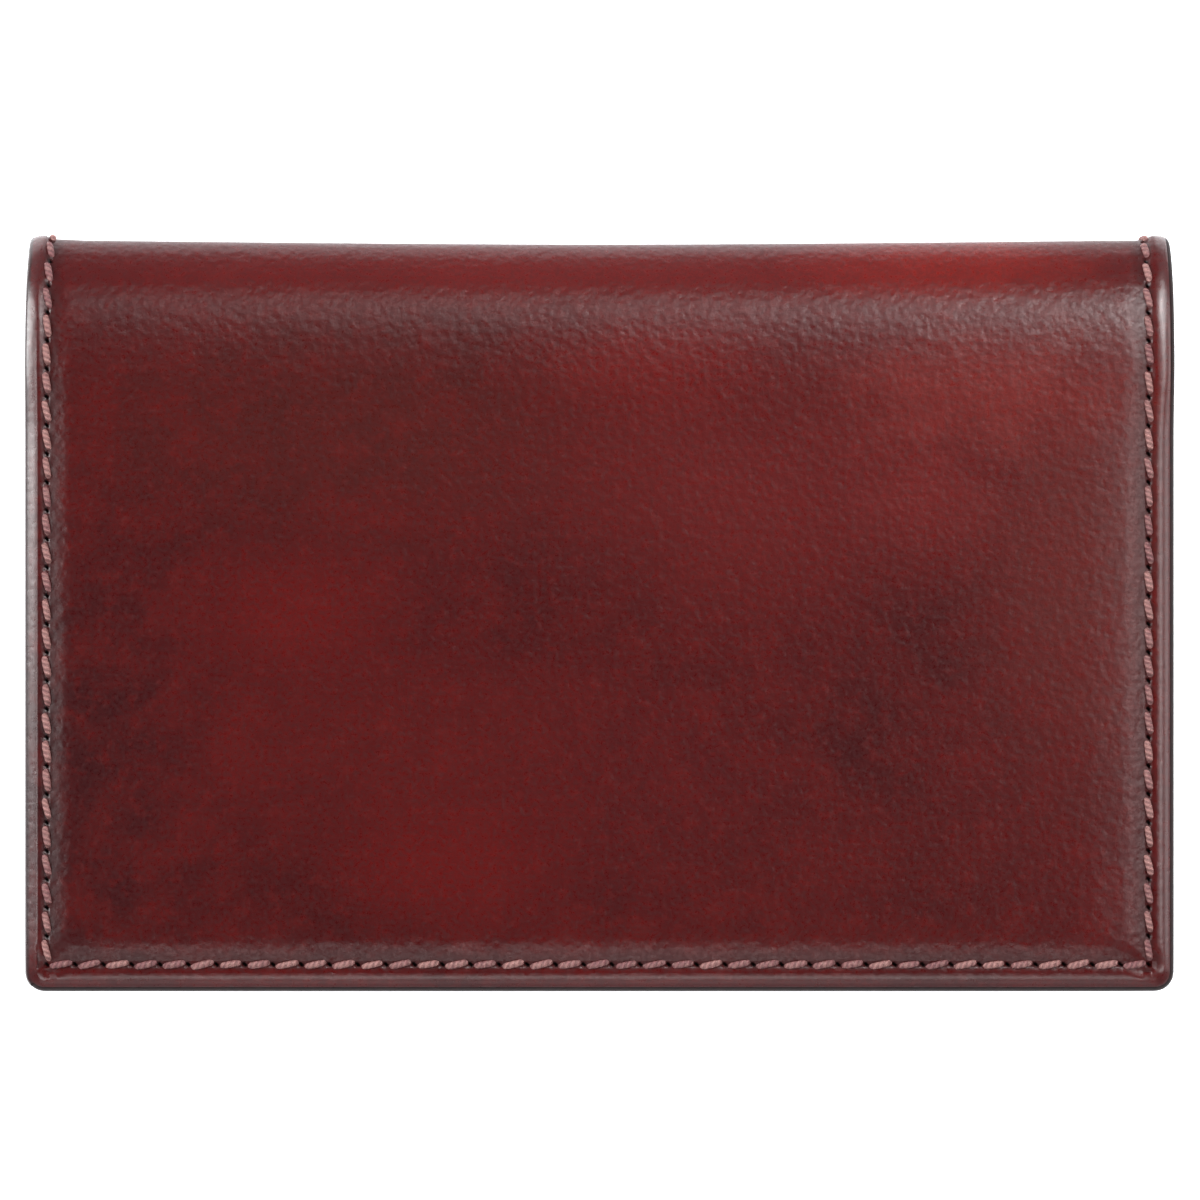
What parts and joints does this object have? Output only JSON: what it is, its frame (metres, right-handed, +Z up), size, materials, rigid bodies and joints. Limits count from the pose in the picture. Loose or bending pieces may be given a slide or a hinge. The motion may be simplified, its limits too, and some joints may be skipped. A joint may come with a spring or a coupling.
{
  "type": "business card case",
  "caption": "Folding leather card case with a stitched edge, a gusseted pocket for business cards and flat slip pockets inside.",
  "frame": {"origin": "centre of the back cover's outer face, on the surface the closed case lies on", "axes": "+Z up from the back cover to the front cover, +X along the fold, +Y from the open edge towards the fold"},
  "size_m": [0.108, 0.0708, 0.012],
  "materials": {
    "cover_leather": "hand-stained full-grain leather, waxed and polished to a soft gloss",
    "pocket_leather": "hand-stained leather, satin",
    "lining_leather": "thin skived leather lining, low satin",
    "seam_thread": "bonded polyester thread, matt",
    "stiffener_board": "pressed fibre board, matt"
  },
  "bodies": {
    "back_half": {"back_cover": "cover_leather", "back_board": "stiffener_board", "back_lining": "lining_leather", "back_seam_thread": "seam_thread", "card_pocket_foot": "pocket_leather", "left_gusset": "pocket_leather", "right_gusset": "pocket_leather"},
    "card_pocket": {"card_pocket_panel": "pocket_leather", "left_pocket_thread": "seam_thread", "right_pocket_thread": "seam_thread"},
    "spine_lower": {"spine_leather_lower": "cover_leather", "spine_lining_lower": "lining_leather", "spine_thread_left_lower": "seam_thread", "spine_thread_right_lower": "seam_thread"},
    "spine_middle": {"spine_leather_middle": "cover_leather", "spine_lining_middle": "lining_leather", "spine_thread_left_middle": "seam_thread", "spine_thread_right_middle": "seam_thread"},
    "spine_upper": {"spine_leather_upper": "cover_leather", "spine_lining_upper": "lining_leather", "spine_thread_left_upper": "seam_thread", "spine_thread_right_upper": "seam_thread"},
    "front_half": {"front_cover": "cover_leather", "front_board": "stiffener_board", "front_lining": "lining_leather", "front_seam_thread": "seam_thread", "slip_pocket_back": "pocket_leather", "slip_pocket_front": "pocket_leather"}
  },
  "joints": [
    {"name": "back_fold", "type": "hinge", "parent": "back_half", "child": "spine_lower", "pos_m": [0, 0.02847, 0], "axis": [-1, 0, 0], "range_deg": [0, 30]},
    {"name": "lower_spine_bend", "type": "hinge", "parent": "spine_lower", "child": "spine_middle", "pos_m": [0, 0.0354, 0.004], "axis": [-1, 0, 0], "range_deg": [0, 60]},
    {"name": "upper_spine_bend", "type": "hinge", "parent": "spine_middle", "child": "spine_upper", "pos_m": [0, 0.0354, 0.008], "axis": [-1, 0, 0], "range_deg": [0, 60]},
    {"name": "front_fold", "type": "hinge", "parent": "spine_upper", "child": "front_half", "pos_m": [0, 0.02847, 0.012], "axis": [-1, 0, 0], "range_deg": [0, 30]},
    {"name": "pocket_spread", "type": "hinge", "parent": "back_half", "child": "card_pocket", "pos_m": [0, -0.032, 0.0028], "axis": [1, 0, 0], "range_deg": [0, 6], "deforming": ["left_gusset", "right_gusset"]}
  ],
  "couplings": [
    {"joint": "lower_spine_bend", "follows": "back_fold", "ratio": 2},
    {"joint": "upper_spine_bend", "follows": "back_fold", "ratio": 2},
    {"joint": "front_fold", "follows": "back_fold", "ratio": 1},
    {"joint": "pocket_spread", "follows": "back_fold", "ratio": 0.2}
  ]
}
